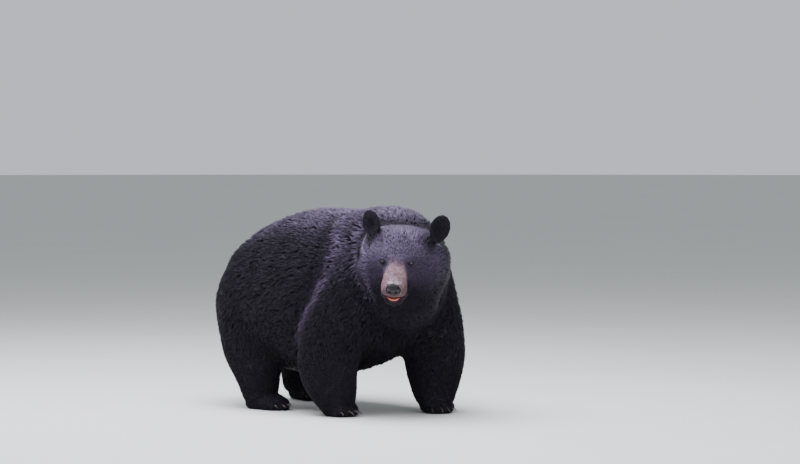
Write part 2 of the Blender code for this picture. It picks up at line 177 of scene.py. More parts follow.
def blob(points, at, radius):
    """1 at a place, falling smoothly to nothing at the radius, which may differ along each axis."""
    return rise(1, 0, np.linalg.norm((points - np.array(at)) / np.array(radius), axis=1))


def hump(value, at, width):
    """1 at a value, falling off on both sides of it."""
    return np.exp(-((value - at) / width) ** 2)


def unit(vectors):
    return vectors / np.maximum(np.linalg.norm(vectors, axis=1, keepdims=True), 1e-9)


def across(vectors, normals):
    """The vectors laid flat against the surface."""
    return unit(vectors - normals * np.sum(vectors * normals, axis=1, keepdims=True))


def middle(node):
    low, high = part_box(node)
    return (low + high) / 2


@contextmanager
def opened(mesh):
    """The mesh as a bmesh, whose changes are kept."""
    bm = bmesh.new()
    bm.from_mesh(mesh)
    yield bm
    bm.to_mesh(mesh)
    bm.free()


def loose_copy(node):
    """A new piece with a CAD node's mesh, its corners merged."""
    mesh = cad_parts[node].data.copy()
    mesh.materials.clear()
    with opened(mesh) as bm:
        bmesh.ops.remove_doubles(bm, verts=bm.verts, dist=MERGE)
    return new_piece(node + "_copy", mesh)


class HeadFrame:
    """Carries points between the scene and head places."""

    def __init__(self):
        left, right = middle("eye_left"), middle("eye_right")
        sideways = (left - right).normalized()
        ahead = middle("nose") - (left + right) / 2
        ahead -= sideways * ahead.dot(sideways)
        back = -(Matrix.Rotation(-NOSE_FALL, 3, sideways) @ ahead.normalized())
        up = sideways.cross(back)
        self.axes = np.array([sideways, back, up])
        self.origin = np.array((left + right) / 2 - back * EYE_BEHIND)
        self.eye_spread = (left - right).length / 2

    def local(self, points):
        return (points - self.origin) @ self.axes.T

    def world(self, points):
        return points @ self.axes + self.origin

    def eye(self, side):
        return np.array([side * self.eye_spread, EYE_BEHIND, 0.0])


HEAD = HeadFrame()


class Surface:
    """A mesh as arrays: its points, and which of them are neighbours."""

    def __init__(self, mesh):
        self.mesh = mesh
        self.points = points_of(mesh)
        edges = read(mesh.edges, "vertices", 2, np.int32)
        self.ends = np.concatenate([edges[:, 0], edges[:, 1]])
        self.others = np.concatenate([edges[:, 1], edges[:, 0]])
        self.degree = np.maximum(np.bincount(self.ends, minlength=len(self.points)), 1)

    def write(self):
        put(self.mesh.vertices, "co", self.points)
        self.mesh.update()

    def normals(self):
        self.write()
        return read(self.mesh.vertices, "normal", 3).astype(float)

    def eased(self, values, share):
        """Each value moved by a share of the way to the mean of its neighbours'."""
        count = len(self.points)
        moved = values.copy()
        for k in range(values.shape[1]):
            mean = np.bincount(self.ends, values[self.others, k], count) / self.degree
            moved[:, k] += share * (mean - values[:, k])
        return moved

    def spread(self, values, rounds):
        """The values evened out between neighbours, one or several for each point."""
        columns = values.reshape(len(values), -1)
        for _ in range(rounds):
            columns = self.eased(columns, 0.5)
        return columns.reshape(values.shape)

    def relax(self, rounds, where=1.0):
        """Draws each point halfway to the middle of its neighbours, which shrinks the shape a little."""
        for _ in range(rounds):
            self.points = self.eased(self.points, 0.5 * where)

    def soften(self, rounds, where=1.0):
        """Takes the facets out of the shape and swells it back, so that it doesn't shrink."""
        for _ in range(rounds):
            self.points = self.eased(self.points, 0.50 * where)
            self.points = self.eased(self.points, -0.52 * where)


# ---- the regions of the body

class Flesh:
    """The CAD solids of flesh, whose faces mark how far out the tips of the coat reach."""

    def __init__(self):
        corners, faces, self.owners = [], [], []
        for node in FLESH:
            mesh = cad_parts[node].data
            base = len(corners)
            corners += [tuple(v.co) for v in mesh.vertices]
            for face in mesh.polygons:
                faces.append([base + i for i in face.vertices])
                self.owners.append(REGIONS.index(node.split("_")[0]))
        self.tree = BVHTree.FromPolygons(corners, faces)
        self.outline = None  # the skin before it goes down to the roots of the fur

    def regions(self, points):
        """For each point, 1 in the column of the region that the nearest flesh belongs to."""
        found = [self.owners[self.tree.find_nearest(point)[2]] for point in points.tolist()]
        return np.eye(len(REGIONS))[found]

    def room(self, points, normals):
        """How far each point lies under the outline."""
        found = [self.outline.find_nearest(point)[0] for point in points.tolist()]
        return np.sum((np.array(found) - points) * normals, axis=1)


flesh = Flesh()


def head_depth(places):
    """The coat's depth over the head: a few millimetres on the muzzle, a ruff behind the cheeks."""
    x, y, z = places.T
    cheek = 0.020 * rise(0.045, 0.115, np.abs(x)) * rise(0.05, -0.05, z)
    depth = 0.0030 + 0.008 * rise(-0.010, 0.070, y) + (0.010 + cheek * 0.5) * rise(0.050, 0.170, y)
    depth += 0.012 * rise(-0.09, -0.15, z) * rise(-0.02, 0.10, y)  # under the throat
    for side in SIDES.values():
        depth *= 1 - 0.55 * blob(places, HEAD.eye(side), 0.045)
    depth *= 1 - 0.72 * blob(places, NOSE_TIP, 0.042)
    depth *= 1 - 0.80 * blob(places, MOUTH, (0.055, 0.060, 0.020))
    return depth


def coat_depth(points, regions):
    """How far the tips of the fur stand off the skin."""
    leg = 0.007 + 0.010 * rise(0.09, 0.45, points[:, 2])
    depths = {
        "trunk": 0.025, "neck": 0.027, "head": head_depth(HEAD.local(points)), "tail": 0.014,
        "foreleg": leg, "forepaw": 0.0055, "hindleg": leg + 0.001, "hindpaw": 0.0055, "ear": 0.0022,
    }
    return sum(regions[:, k] * depths[region] for k, region in enumerate(REGIONS))


# ---- the skin

def whole_flesh():
    """All the flesh as one closed surface, filled where the eyes and the nose sit."""
    copies = [loose_copy(node) for node in FLESH + ["nose", "eye_left", "eye_right"]]
    choose(*copies)
    bpy.ops.object.join()
    skin = bpy.context.object
    skin.name = "skin"
    applied(skin, "DISPLACE", strength=SEAM, mid_level=0)
    applied(skin, "REMESH", mode="VOXEL", voxel_size=VOXEL)
    return skin


def split_faces(mesh, inside):
    """Halves the edges of the faces whose corners are all inside, as a test on points tells."""
    with opened(mesh) as bm:
        bmesh.ops.triangulate(bm, faces=bm.faces)
        marks = inside(np.array([v.co for v in bm.verts]))
        edges = [e for e in bm.edges if marks[e.verts[0].index] and marks[e.verts[1].index]]
        bmesh.ops.subdivide_edges(bm, edges=edges, cuts=1, use_grid_fill=True)
        bmesh.ops.triangulate(bm, faces=bm.faces)


def near_eyes(radius):
    """A test on points, for split_faces."""
    def inside(points):
        places = HEAD.local(points)
        return np.any([
            np.linalg.norm(places - HEAD.eye(side), axis=1) < radius for side in SIDES.values()
        ], axis=0)
    return inside


def near_features(points):
    """Close to an eye, the nose or the lips."""
    places = HEAD.local(points)
    lips = np.linalg.norm((places - MOUTH) / np.array([0.055, 0.075, 0.030]), axis=1) < 1
    nose = np.linalg.norm(places - NOSE_TIP, axis=1) < 0.045
    return near_eyes(0.034)(points) | lips | nose


def face_share(points):
    """1 on the face, 0 behind it."""
    places = HEAD.local(points)
    return rise(0.100, 0.050, places[:, 1]) * rise(0.24, 0.20, np.linalg.norm(places, axis=1))


def fineness(points, regions):
    """1 where small forms have to last: on the face, the ears and the feet."""
    small = regions[:, [REGIONS.index(r) for r in ("ear", "forepaw", "hindpaw")]].sum(axis=1)
    return np.clip(face_share(points) + small, 0, 1)


def on_face(points):
    places = HEAD.local(points)
    return (places[:, 1] < 0.070) & (np.linalg.norm(places, axis=1) < 0.22)


def sink(surface, depth, fine):
    """Takes the skin down from the tips of the fur to its roots."""
    for _ in range(SINKINGS):
        surface.points -= surface.normals() * depth[:, None] / SINKINGS
        surface.soften(2)
        surface.relax(SINK_SMOOTHINGS, 1 - fine)


def level(surface, where):
    """Sets the smoothed skin back to its depth under the tips of the coat, without new facets."""
    for _ in range(LEVELLINGS):
        regions = surface.spread(flesh.regions(surface.points), 6)
        depth = coat_depth(surface.points, regions)
        normals = surface.normals()
        spare = flesh.room(surface.points, normals) - depth
        spare = surface.spread(np.clip(spare, -0.03, 0.06), 12)
        surface.points += normals * (spare * where)[:, None]
        surface.soften(2)


def thin_body(skin, fine):
    """Thins the skin where the coat hides it, and leaves the face, ears and feet."""
    group = skin.vertex_groups.new(name="thin")
    for index in np.flatnonzero(fine < 0.5).tolist():
        group.add([index], 1.0, "REPLACE")
    applied(skin, "DECIMATE", ratio=BODY_THINNING, vertex_group="thin", vertex_group_factor=1.0)
    skin.vertex_groups.clear()


def model_face(surface):
    """Presses and raises the forms of the face: sockets, brows, whisker pads and furrows."""
    places = HEAD.local(surface.points)
    normals = surface.normals() @ HEAD.axes.T
    lift = -0.0022 * blob(places, (0, 0.020, 0.050), (0.010, 0.060, 0.055))  # the forehead's furrow
    for name, side in SIDES.items():
        socket = HEAD.eye(side) + (side * -0.006, -0.006, -0.008)
        cup = HEAD.local(np.array(middle("ear_" + name)))
        for height, at, radius in (
            (0.0040, (side * 0.052, 0.010, 0.026), (0.034, 0.040, 0.018)),  # the brow
            (-0.0050, socket, 0.030),
            (-0.0050, (side * 0.072, -0.030, -0.050), (0.030, 0.050, 0.030)),  # under the cheekbone
            (0.0045, (side * 0.038, -0.104, -0.088), (0.026, 0.038, 0.024)),  # the whisker pad
            (-0.0030, (side * 0.050, -0.066, -0.058), (0.018, 0.040, 0.020)),  # the muzzle's side
            (-0.0100, (side * 0.120, 0.085, 0.055), (0.035, 0.040, 0.040)),  # before the ear
        ):
            lift += height * blob(places, at, radius)
        lift -= 0.0080 * blob(places, cup, (0.036, 0.060, 0.044)) * rise(-0.2, -0.7, normals[:, 1])
    surface.points += (normals * lift[:, None]) @ HEAD.axes


def eye_axes(side):
    """The way the eye looks, the way to its outer corner, and its own upwards."""
    flat = math.cos(GAZE_UP)
    look = np.array([side * math.sin(GAZE_OUT) * flat, -math.cos(GAZE_OUT) * flat, math.sin(GAZE_UP)])
    outer = np.array([side, 0, 0]) - look * side * look[0]
    outer /= np.linalg.norm(outer)
    upper = np.cross(outer, look) * -side
    ahead, aside = math.cos(EYE_SLANT), math.sin(EYE_SLANT)
    return look, outer * ahead + upper * aside, upper * ahead - outer * aside


def round_the_eye(places, side):
    """For points near an eye: the height along its gaze, the distance from its axis, the bearing
    from the outer corner, and how far the lids' opening reaches at that bearing."""
    look, outer, upper = eye_axes(side)
    from_eye = places - HEAD.eye(side)
    height, along, over = from_eye @ look, from_eye @ outer, from_eye @ upper
    bearing = np.arctan2(over, along)
    long_half, above, below = OPENING
    tall = np.where(over > 0, above, below)
    bow = 1.7  # between a diamond at 1 and an ellipse at 2
    edge = (np.abs(np.cos(bearing)) / long_half) ** bow + (np.abs(np.sin(bearing)) / tall) ** bow
    return height, np.hypot(along, over), bearing, edge ** (-1 / bow)


def open_lids(surface):
    """Wraps the skin over each eyeball as two lids with an almond-shaped opening."""
    radius, snap = EYE_RADIUS, LID_SNAP
    for side in SIDES.values():
        places = HEAD.local(surface.points)
        height, away, bearing, edge = round_the_eye(places, side)
        near = (away < LID_REACH) & (height > EYE_SPACE[0]) & (height < EYE_SPACE[1])
        inside = near & (away < edge)
        placed = np.where(inside & (away > edge - snap), edge - 0.0001, away)
        placed = np.where(near & ~inside & (away < edge + snap), edge + 0.0003, placed)
        ball = np.sqrt(np.maximum(radius ** 2 - np.minimum(placed, 0.97 * radius) ** 2, 0))
        wrapped = np.minimum(placed, LID_WRAP)
        lid = np.sqrt((radius + LID) ** 2 - wrapped ** 2) - 0.75 * (placed - wrapped)
        rim, crease = hump(placed - edge, 0.0016, 0.0016), hump(placed - edge, 0.0042, 0.0011)
        lid += 0.0009 * rim - 0.0014 * crease * rise(0.0, 0.6, np.sin(bearing))
        hold = 1 - rise(0.45 * LID_REACH, LID_REACH, placed)
        tucked = ball - np.where(away > edge - snap, 0.0006, 0.0022)  # behind the eyeball's front
        raised = np.where(inside, tucked, height + hold * (lid - height))
        look, outer, above = eye_axes(side)
        moved = (HEAD.eye(side) + raised[:, None] * look
                 + (placed * np.cos(bearing))[:, None] * outer + (placed * np.sin(bearing))[:, None] * above)
        places[near] = moved[near]
        surface.points = HEAD.world(places)


def seat_nose(surface):
    """Presses the skin in under the nose pad, and further behind the nostrils."""
    tree = tree_of(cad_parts["nose"].data)
    places = HEAD.local(surface.points)
    gap = np.full(len(places), 1.0)
    for index in np.flatnonzero(np.linalg.norm(places - NOSE_TIP, axis=1) < 0.060).tolist():
        gap[index] = tree.find_nearest(surface.points[index])[3]
    normals = surface.normals()
    inwards = 0.0034 * rise(0.0038, 0.0010, gap)
    for side in SIDES.values():
        inwards += 0.0070 * blob(places, (side * 0.0150, -0.146, -0.0720), (0.020, 0.030, 0.014))
    surface.points -= normals * inwards[:, None]


def make_skin():
    """The skin: the flesh sunk to the roots of the fur, thinned on the body and modelled on the face."""
    skin = whole_flesh()
    surface = Surface(skin.data)
    flesh.outline = tree_of(skin.data)
    regions = surface.spread(flesh.regions(surface.points), 14)
    fine = fineness(surface.points, regions)
    depth = surface.spread(coat_depth(surface.points, regions), 6)
    surface.soften(FACE_SMOOTHINGS)
    sink(surface, depth, fine)
    surface.write()
    thin_body(skin, fine)
    surface = Surface(skin.data)
    fine = fineness(surface.points, surface.spread(flesh.regions(surface.points), 6))
    surface.relax(BODY_SMOOTHINGS, 1 - fine)
    level(surface, 1 - face_share(surface.points))
    surface.write()
    for inside in (on_face, near_features, near_eyes(0.017)):
        split_faces(skin.data, inside)
        surface = Surface(skin.data)
        surface.soften(3, on_face(surface.points).astype(float))
        surface.write()
    model_face(surface)
    surface.soften(2, on_face(surface.points).astype(float))
    seat_nose(surface)
    open_lids(surface)
    surface.write()
    skin.data.shade_smooth()
    return skin


# ---- the lie of the fur

def waves(points, length, seed):
    """A smooth field between about -1 and 1, with its hills about that length apart."""
    rng = np.random.default_rng(seed)
    total, count = np.zeros(len(points)), 6
    for _ in range(count):
        direction = unit(rng.normal(size=(1, 3)))[0] * rng.uniform(0.7, 1.4) * 2 * math.pi / length
        total += np.sin(points @ direction + rng.uniform(0, 2 * math.pi))
    return total / count * 1.7


def lie_of_fur(points, normals, regions):
    """The way the fur lies: back from the nose, down the flanks and legs, forwards over the toes."""
    _, y, z = points.T
    places = HEAD.local(points)

    def along(*way):
        return np.stack([np.broadcast_to(v, len(points)) for v in way], axis=1).astype(float)

    cheek = rise(0.050, 0.110, np.abs(places[:, 0])) * rise(0.02, -0.06, places[:, 2])
    head = unit(places - NOSE_TIP) + along(0, 0.3 * cheek, -0.8 * cheek)
    ear = along(0.5 * np.sign(places[:, 0]), 0.3, 1)
    flank = rise(0.86, 0.62, z)
    rump = rise(0.46, 0.74, y)
    chest = rise(-0.30, -0.45, y) * rise(0.72, 0.58, z)
    down = np.clip(rump + chest, 0, 1)
    trunk = along(0, 1, -0.50 * flank) * (1 - down)[:, None] + along(0, 0.25, -1) * down[:, None]
    neck = unit(points - HEAD.origin) * (1, 1, 0.4) + along(0, 0.5, -0.7 * rise(0.84, 0.70, z))
    leg = along(0, 0.20 + 0.65 * rise(0.24, 0.55, z), -1)
    paw = along(0, -1, -0.35)
    lies = {
        "trunk": trunk, "neck": neck, "head": head @ HEAD.axes, "tail": along(0, 0.15, -1),
        "foreleg": leg, "forepaw": paw, "hindleg": leg, "hindpaw": paw, "ear": ear @ HEAD.axes,
    }
    total = sum(regions[:, k, None] * unit(lies[region]) for k, region in enumerate(REGIONS))
    return across(total, normals)


def cheek_folds(points):
    """Where the turned neck creases the coat behind the right cheek: the furrow, and its two crests."""
    x, y, z = HEAD.local(points).T
    out = np.hypot(x, (z + 0.025) / 1.05) + 0.14 * z
    here = rise(-0.05, -0.10, x) * rise(0.06, 0.0, z) * rise(-0.25, -0.19, z) * rise(0.35, 0.31, np.abs(y))
    rim = -0.140 + 0.42 * np.maximum(-0.09 - z, 0)
    inner = hump(x, rim, 0.010) * rise(0.16, 0.11, y)
    outer = 1.8 * hump(out, 0.187, 0.011) * rise(0.04, 0.08, y)
    return here * hump(out, 0.163, 0.012) * rise(0.05, 0.09, y), here * (inner + outer)


def shoulder_folds(points):
    """The furrow behind the shoulder and the crest before it, bowed forwards at mid height: deep on
    the right, where the weight comes on that leg, and faint on the left."""
    x, y, z = points.T
    bow = -0.225 + np.where(z > 0.66, 2.15, 1.75) * (z - 0.66) ** 2
    here = rise(0.08, 0.14, np.abs(x)) * rise(0.28, 0.42, z) * rise(0.90, 0.84, z) * np.where(x < 0, 1, 0.25)
    return here * 0.8 * hump(y, bow + 0.055, 0.030), here * 1.5 * hump(y, bow, 0.026)


def nape_furrow(points):
    """The furrow between the crown and the hump."""
    x, y, z = HEAD.local(points).T
    here = rise(0.16, 0.12, np.abs(x + 0.01)) * rise(-0.03, 0.0, z)
    line = 0.258 + 0.45 * np.maximum(x, 0) + 0.05 * np.maximum(-x, 0)
    return here * hump(y, line, 0.050)


def folds(points):
    """The furrows and the crests of the coat."""
    (cheek_in, cheek_out), (shoulder_in, shoulder_out) = cheek_folds(points), shoulder_folds(points)
    furrow = cheek_in + shoulder_in + nape_furrow(points)
    return np.clip(furrow, 0, 1), np.clip(cheek_out + shoulder_out, 0, 1)


def painted_light_mask(points, normals, ears, crest):
    """Painted light on the tips: 1 where it is painted on the back and the crown, on the parts facing up, and
    on the brow, the cheeks, the shoulders and the crests; 0 on the jet black parts, which painted shade keeps
    dark.
    """
    places = HEAD.local(points)
    x, y, z = places.T
    # painted light: tips facing up are painted paler, the more so higher on the body
    top = rise(0.60, 1.0, normals[:, 2]) * rise(0.40, 0.74, points[:, 2])
    near = rise(0.30, 0.20, np.sqrt(x * x + y * y + z * z))
    # painted highlight on the brow, set a little off the middle towards the light
    brow_light = near * rise(0.30, 0.10, y) * rise(0.008, 0.100, z) * rise(0.14, 0.02, np.abs(x + 0.010))
    # painted light on the cheeks, and less of it behind the head
    cheek = near * rise(0.26, 0.16, y) * rise(-0.18, -0.04, z)
    rim = near * rise(0.14, 0.20, y)
    pale = np.maximum(0.72 * top, 1.1 * brow_light) * (1 - 0.7 * rim)
    # painted highlight on the crests of the coat, painted shade in its furrows
    pale = np.clip(np.maximum(pale, 0.84 * cheek), 0, 1) + 0.90 * crest
    # painted shade: the ears, the hollows at their bases and the rings round the eyes are kept dark
    painted_shade = np.clip(2.0 * ears, 0, 1)
    for side in SIDES.values():
        # painted highlight on top of each shoulder
        shoulder_light = blob(points, (side * 0.25, -0.27, 0.70), (0.14, 0.14, 0.22))
        ear_base_shade = blob(places, (side * 0.135, 0.110, 0.060), 0.080)
        eye_ring_shade = blob(places, (side * 0.062, -0.004, -0.010), 0.028)
        pale = np.maximum(pale, 0.36 * shoulder_light)
        painted_shade = np.maximum(np.maximum(painted_shade, np.minimum(1, 1.5 * ear_base_shade)), 0.6 * eye_ring_shade)
    return np.clip(pale * (1 - painted_shade), 0, 1)


def by_nose(places):
    """How far places lie from the middle of the nose: 1 at the edge of its pad."""
    return np.linalg.norm((places - (0, -0.140, -0.068)) / np.array([0.0290, 0.030, 0.0220]), axis=1)


class Hide:
    """The skin as the coat sees it: triangles, and at each corner the fur's depth, lie and painted light."""

    def __init__(self, skin):
        surface = Surface(skin.data)
        self.points = surface.points
        self.normals = surface.normals()
        self.triangles = read(skin.data.loops, "vertex_index", 1, np.int32).reshape(-1, 3)
        self.regions = surface.spread(flesh.regions(self.points), 8)
        nominal = coat_depth(self.points, self.regions)
        room = surface.spread(flesh.room(self.points, self.normals), 4)
        true = np.clip(room + TIP_OVER, 0.7 * nominal, 1.6 * nominal + 0.002)
        self.depth = nominal + (true - nominal) * (1 - face_share(self.points))
        furrow, crest = folds(self.points)
        self.depth *= 1 + CREST * crest - FURROW * furrow
        ears = self.regions[:, REGIONS.index("ear")]
        # painted light on the tips, as a highlight on the crests and painted shade in the furrows
        self.pale = painted_light_mask(self.points, self.normals, ears, crest - furrow)
        lie = lie_of_fur(self.points, self.normals, self.regions)
        self.lie = across(surface.spread(lie, 12), self.normals)
        corners = self.points[self.triangles]
        cross = np.cross(corners[:, 1] - corners[:, 0], corners[:, 2] - corners[:, 0])
        self.areas = np.linalg.norm(cross, axis=1) / 2
        self.centres = corners.mean(axis=1)
        self.main = self.regions[self.triangles].mean(axis=1).argmax(axis=1)
        self.bald = self.bare()[self.triangles].max(axis=1)
        self.tree = BVHTree.FromPolygons(self.points.tolist(), self.triangles.tolist())

    def bare(self):
        """1 where no fur grows: within the lids, under the nose pad and inside the mouth."""
        places = HEAD.local(self.points)
        bald = np.zeros(len(places))
        for side in SIDES.values():
            height, away, _, edge = round_the_eye(places, side)
            bald[(away < edge + 0.0022) & (height > -0.010) & (height < 0.03)] = 1
        bald[(by_nose(places) < 1) | (in_mouth(places) > 0.4)] = 1
        return bald


# ---- the coat

class Coat(NamedTuple):
    """One piece of the coat: the faces of the skin that it grows on, its tufts and how they group."""

    name: str
    grows_on: object  # a test for the skin's faces
    tufts: int  # six faces each
    clump: float  # distance between clumps
    pull: float  # how far tips lean to their clump's
    ragged: float  # how unevenly clumps stand
    curl: float  # how far the lie wavers, in radians
    mottle: float = 1.0  # how unlike the tufts' tones are
    stout: float = 1.0  # how much wider than their length asks the tufts are


def blended(values, triangles, shares):
    """The values at places given by their triangle and its corners' shares."""
    return np.einsum("nk,nk...->n...", shares, values[triangles])


def tuft_roots(hide, coat, rng):
    """Roots scattered over the skin, closer where tufts are small: their triangles and places in them."""
    faces = np.flatnonzero(coat.grows_on(hide) & (hide.bald < 0.5))
    depth = hide.depth[hide.triangles[faces]].mean(axis=1)
    weights = hide.areas[faces] / (tuft_length(depth) * tuft_width(depth)) ** 0.75
    chosen = rng.choice(faces, coat.tufts, p=weights / weights.sum())
    first, second = rng.random((2, coat.tufts))
    over = first + second > 1
    first[over], second[over] = 1 - first[over], 1 - second[over]
    shares = np.stack([1 - first - second, first, second], axis=1)
    return hide.triangles[chosen], shares


def tuft_length(depth):
    return 0.0050 + 1.45 * depth


def tuft_width(depth):
    return 0.0011 + 0.098 * depth


def turned(vectors, normals, angles):
    """The vectors turned about the normals."""
    return vectors * np.cos(angles)[:, None] + np.cross(normals, vectors) * np.sin(angles)[:, None]


def settle(hide, points, shares):
    """The points set over the nearest skin by a share of the coat's depth, and that skin's triangles."""
    found = [hide.tree.find_nearest(point)[:3] for point in points.tolist()]
    ground, normals = (np.array([hit[k] for hit in found]) for k in range(2))
    triangles = hide.triangles[[hit[2] for hit in found]]
    depth = hide.depth[triangles].mean(axis=1)
    return ground + normals * (depth * shares)[:, None], triangles


def clumps(hide, coat, roots):
    """The clump that each root belongs to, and their number: the first roots are the clumps' middles."""
    area = hide.areas[coat.grows_on(hide)].sum()
    centres = max(8, int(area / coat.clump ** 2))
    tree = KDTree(centres)
    for index in range(centres):
        tree.insert(roots[index], index)
    tree.balance()
    return np.array([tree.find(point)[1] for point in roots.tolist()]), centres


def grow(hide, coat, seed):
    """The coat piece: closed spindles of six faces that lie along the body, tips over roots."""
    rng = np.random.default_rng(seed)
    triangles, shares = tuft_roots(hide, coat, rng)
    count = coat.tufts
    roots = blended(hide.points, triangles, shares)
    normals = unit(blended(hide.normals, triangles, shares))
    lie = across(blended(hide.lie, triangles, shares), normals)
    depth = blended(hide.depth, triangles, shares)

    group, centres = clumps(hide, coat, roots)
    group_turn = rng.normal(0, 0.45 * coat.curl, centres)[group]
    group_height = 1 + coat.ragged * rng.uniform(-1, 0.2, centres)[group]
    group_shade = rng.random(centres)[group]

    turn = SWAY * waves(roots, SWAY_LENGTH, 3) + coat.curl * waves(roots, CURL_LENGTH, 4)
    lie = turned(lie, normals, turn + group_turn + rng.normal(0, 0.08, count))
    length = tuft_length(depth) * rng.uniform(*LENGTHS, count)
    width = tuft_width(depth) * rng.uniform(*WIDTHS, count) * coat.stout
    shares_up = group_height * rng.uniform(*HEIGHTS, count)
    shares_up *= np.where(rng.random(count) < UNDERFUR, UNDERFUR_HEIGHT, 1)
    tips, under = settle(hide, roots + lie * length[:, None], shares_up)
    lean = (tips[group] - tips) * coat.pull
    lean -= normals * np.sum(lean * normals, axis=1, keepdims=True)
    tips += lean
    bow = normals * (BELLY_RISE * depth * shares_up)[:, None]
    belly = roots + (tips - roots) * BELLY_AT + bow + 0.10 * lean
    aim = unit(tips - roots)
    sides = unit(np.cross(aim, normals))
    top = np.cross(sides, aim)
    half, thick = width[:, None] / 2, width[:, None] * RIDGE
    under_belly = top * thick * SIDES_UNDER
    shape = np.stack([
        roots - normals * ROOT_UNDER,
        belly + top * thick,
        belly + sides * half - under_belly,
        belly - sides * half - under_belly,
        tips,
    ], axis=1)
    shape[..., 2] = np.maximum(shape[..., 2], FLOOR_GAP)

    piece = tuft_mesh(coat.name, shape)
    tone = 0.65 * group_shade + 0.35 * rng.random(count)
    brown = brown_share(roots)
    marks = {
        "tone": 0.5 + (tone - 0.5) * coat.mottle,
        "brown": rise(0.2, 0.8, brown + 0.45 * (rng.random(count) - 0.5) * (brown > 0)),
        # painted highlight along the muzzle's top and a painted glint above the nose
        "painted_muzzle_light": muzzle_top_light(roots),
        # painted light, read from the skin under each tip
        "pale": hide.pale[under].mean(axis=1),
    }
    add_values(piece.data, "tip", np.tile(TIP_SHARES, count))
    for name, values in marks.items():
        add_values(piece.data, name, np.repeat(values, CORNERS))
    place_patches(piece.data, unwrapped(coat.name, roots))
    return piece


def tuft_mesh(name, shape):
    """A mesh of spindles from their five corners each: root, ridge, two sides and tip."""
    count = len(shape)
    faces = (np.array(SPINDLE)[None] + CORNERS * np.arange(count)[:, None, None]).reshape(-1, 3)
    mesh = bpy.data.meshes.new(name)
    mesh.vertices.add(CORNERS * count)
    put(mesh.vertices, "co", shape)
    mesh.loops.add(3 * len(faces))
    put(mesh.loops, "vertex_index", faces, np.int32)
    mesh.polygons.add(len(faces))
    put(mesh.polygons, "loop_start", np.arange(0, 3 * len(faces), 3), np.int32)
    mesh.update(calc_edges=True)
    mesh.shade_smooth()
    return new_piece(name, mesh)


def place_patches(mesh, places):
    """The bake map: each tuft a small patch at its root's place on the unwrapped skin."""
    corners = (places[:, None] * (1 - PATCH) + np.array(PATCH_PLACES)[None] * PATCH).reshape(-1, 2)
    order = read(mesh.loops, "vertex_index", 1, np.int32)
    put(mesh.uv_layers.new(name="OFBake").data, "uv", corners[order])


def unwrapped(name, points):
    """Where points of the skin lie on its unwrap, from 0 to 1 each way: the head as a disc about its
    front, a leg rolled off about its own middle, and the trunk about its length."""
    x, y, z = points.T
    if name in ("coat_face", "coat_crown"):
        spokes = unit(HEAD.local(points) - (0, 0.06, -0.04)) * (1, -1, 1)
        reach = np.sqrt(np.clip((1 - spokes[:, 1]) / 2, 0, 1)) * 0.5
        bearing = np.arctan2(spokes[:, 2], spokes[:, 0])
        across_map, up_map = 0.5 + reach * np.cos(bearing), 0.5 + reach * np.sin(bearing)
    elif "leg_" in name:
        centre = middle(name.removeprefix("coat_"))
        across_map, up_map = np.arctan2(y - centre.y, x - centre.x) / (2 * math.pi) + 0.5, z / 0.75
    else:
        across_map, up_map = np.arctan2(x, z - 0.48) / (2 * math.pi) + 0.5, y / 1.5 + 0.5
    return np.clip(np.stack([across_map, up_map], axis=1), 0, 1)


def over_lips(places):
    """How far places lie over the line where the lips part."""
    return places[:, 2] + 0.1210 - 0.045 * places[:, 1]


def in_mouth(places):
    """1 on the walls of the open mouth, 0 outside the lips."""
    x, y, _ = places.T
    hollow = rise(1.15, 0.80, (x / 0.0350) ** 2 + (over_lips(places) / 0.0135) ** 2)
    return hollow * rise(0.030, 0.015, y) * rise(-0.112, -0.104, y)


def brown_share(points):
    """1 on the brown of the muzzle, 0 on the black of the rest."""
    x, y, z = HEAD.local(points).T
    wide = 0.036 + 0.027 * rise(-0.015, -0.105, y)
    low = -0.120 + 0.45 * np.maximum(np.abs(x) - 0.018, 0)
    return rise(0.012, -0.055, y) * rise(-0.006, 0.014, z - low) * rise(1.12, 0.86, np.abs(x) / wide)


def muzzle_top_light(points):
    """0 on the rusty sides of the muzzle, 0.5 along its bridge, whose top is painted lighter as a highlight,
    1 on the grey painted glint just above the nose.
    """
    places = HEAD.local(points)
    # painted highlight along the top of the muzzle
    along = rise(0.052, 0.026, np.abs(places[:, 0])) * rise(-0.112, -0.080, places[:, 2])
    # a painted glint, grey to white, just above the nose
    painted_glint = np.minimum(1, 1.8 * blob(places, (0, -0.132, -0.038), (0.044, 0.034, 0.024)))
    return 0.5 * along + 0.5 * painted_glint


def of(*regions):
    """A test for the skin's faces in these regions."""
    wanted = [REGIONS.index(region) for region in regions]
    return lambda hide: np.isin(hide.main, wanted)


def leg_part(leg, paw, side):
    return lambda hide: of(leg, paw)(hide) & (hide.centres[:, 0] * side > 0)


def trunk_between(hide, low, high, side=0):
    y = hide.centres[:, 1]
    return of("trunk")(hide) & (y >= low) & (y < high) & (hide.centres[:, 0] * side >= 0)


def face_part(hide):
    return of("head")(hide) & (HEAD.local(hide.centres)[:, 1] < 0.075)


